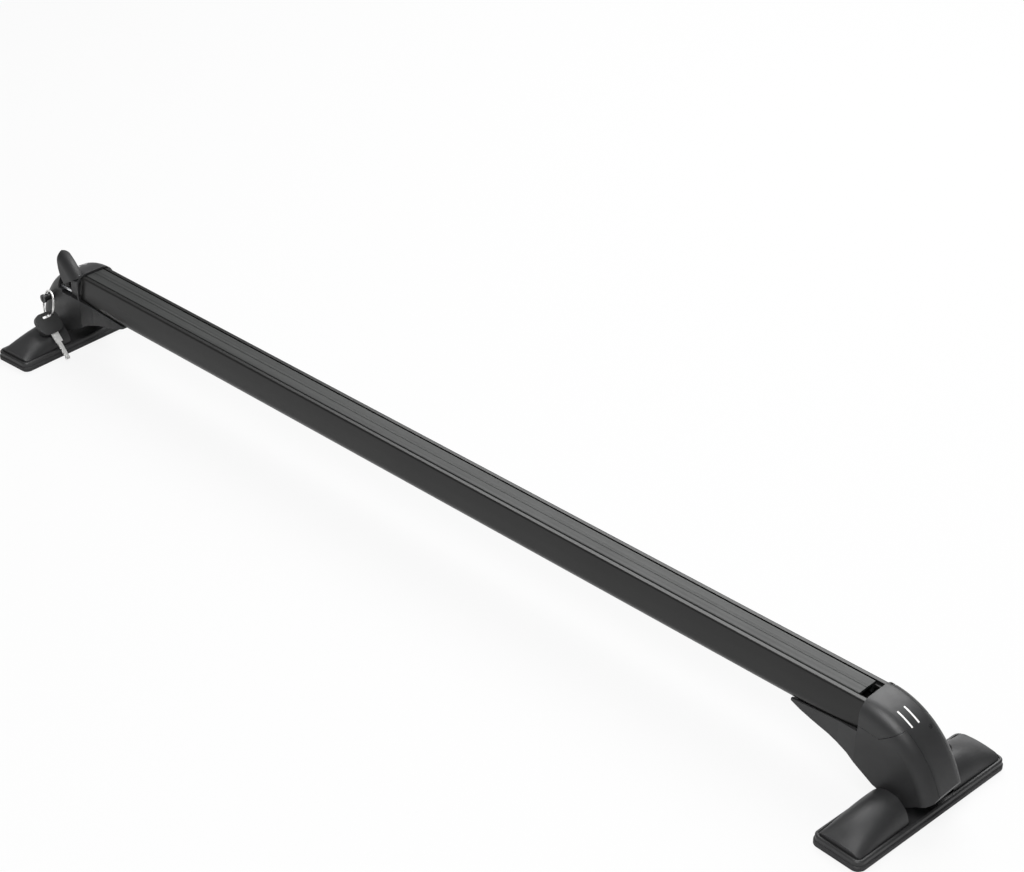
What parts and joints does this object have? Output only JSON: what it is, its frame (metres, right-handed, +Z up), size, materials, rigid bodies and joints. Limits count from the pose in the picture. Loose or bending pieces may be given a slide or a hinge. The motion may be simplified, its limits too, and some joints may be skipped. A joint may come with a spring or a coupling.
{
  "type": "roof rack crossbar",
  "caption": "Black aluminium roof rack crossbar with a T-slot strip, carried at each end by a lockable moulded tower on a tilting padded foot.",
  "frame": {"origin": "middle of the bar's length and width, on the plane that both pads stand on", "axes": "+X along the bar towards the end whose flap is shut, +Y along the car away from the hanging key, +Z up"},
  "size_m": [1.191, 0.1916, 0.1158],
  "materials": {
    "black_moulding": "fine spark-eroded grain",
    "black_anodised_bar": "black anodised extrusion, satin",
    "strip_rubber": "dark grey extruded rubber",
    "pad_rubber": "soft moulded rubber",
    "zinc_steel": "zinc plated",
    "lock_metal": "black plated",
    "key_plastic": "moulded, satin",
    "key_steel": "nickel plated"
  },
  "bodies": {
    "frame": {"bar": "black_anodised_bar", "slot_strip": "strip_rubber", "bar_bolts": "zinc_steel", "cover_screws": "zinc_steel", "tower_r": "black_moulding", "cover_r": "black_moulding", "flap_pin_r": "zinc_steel", "bracket_r": "zinc_steel", "nut_plate_r": "zinc_steel", "seat_plate_r": "zinc_steel", "foot_pin_r": "zinc_steel", "tower_l": "black_moulding", "cover_l": "black_moulding", "flap_pin_l": "zinc_steel", "bracket_l": "zinc_steel", "nut_plate_l": "zinc_steel", "seat_plate_l": "zinc_steel", "foot_pin_l": "zinc_steel", "key_blade": "key_steel", "key_head": "key_plastic", "key_ring": "key_steel"},
    "foot_r": {"foot_base_r": "black_moulding", "foot_pad_r": "pad_rubber", "wings_r": "black_moulding", "wing_screws_r": "zinc_steel"},
    "flap_r": {"flap_r": "black_moulding"},
    "lock_r": {"lock_r": "lock_metal"},
    "clamp_bolt_r": {"clamp_bolt_r": "zinc_steel"},
    "hook_carrier_r": {"hook_carrier_r": "zinc_steel"},
    "foot_l": {"foot_base_l": "black_moulding", "foot_pad_l": "pad_rubber", "wings_l": "black_moulding", "wing_screws_l": "zinc_steel"},
    "flap_l": {"flap_l": "black_moulding"},
    "lock_l": {"lock_l": "lock_metal"},
    "clamp_bolt_l": {"clamp_bolt_l": "zinc_steel"},
    "hook_carrier_l": {"hook_carrier_l": "zinc_steel"}
  },
  "joints": [
    {"name": "foot_r_tilt", "type": "hinge", "parent": "frame", "child": "foot_r", "pos_m": [0.561, 0, 0.02], "axis": [0, 1, 0], "range_deg": [-4, 4]},
    {"name": "flap_r_hinge", "type": "hinge", "parent": "frame", "child": "flap_r", "pos_m": [0.5245, 0, 0.0928], "axis": [0, -1, 0], "range_deg": [0, 80]},
    {"name": "lock_r_turn", "type": "hinge", "parent": "frame", "child": "lock_r", "pos_m": [0.574, 0.024, 0.053], "axis": [0, 1, 0], "range_deg": [0, 90]},
    {"name": "clamp_bolt_r_turn", "type": "hinge", "parent": "frame", "child": "clamp_bolt_r", "pos_m": [0.548, 0.016, 0.07], "axis": [0, 0, -1], "continuous": true},
    {"name": "hook_carrier_r_lift", "type": "slide", "parent": "frame", "child": "hook_carrier_r", "axis": [0, 0, 1], "range_m": [-0.0021, 0.0101]},
    {"name": "foot_l_tilt", "type": "hinge", "parent": "frame", "child": "foot_l", "pos_m": [-0.561, 0, 0.02], "axis": [0, -1, 0], "range_deg": [-4, 4]},
    {"name": "flap_l_hinge", "type": "hinge", "parent": "frame", "child": "flap_l", "pos_m": [-0.5245, 0, 0.0928], "axis": [0, 1, 0], "range_deg": [-60, 20]},
    {"name": "lock_l_turn", "type": "hinge", "parent": "frame", "child": "lock_l", "pos_m": [-0.574, -0.024, 0.053], "axis": [0, -1, 0], "range_deg": [0, 90]},
    {"name": "clamp_bolt_l_turn", "type": "hinge", "parent": "frame", "child": "clamp_bolt_l", "pos_m": [-0.548, -0.016, 0.07], "axis": [0, 0, -1], "continuous": true},
    {"name": "hook_carrier_l_lift", "type": "slide", "parent": "frame", "child": "hook_carrier_l", "axis": [0, 0, 1], "range_m": [-0.0021, 0.0101]}
  ]
}
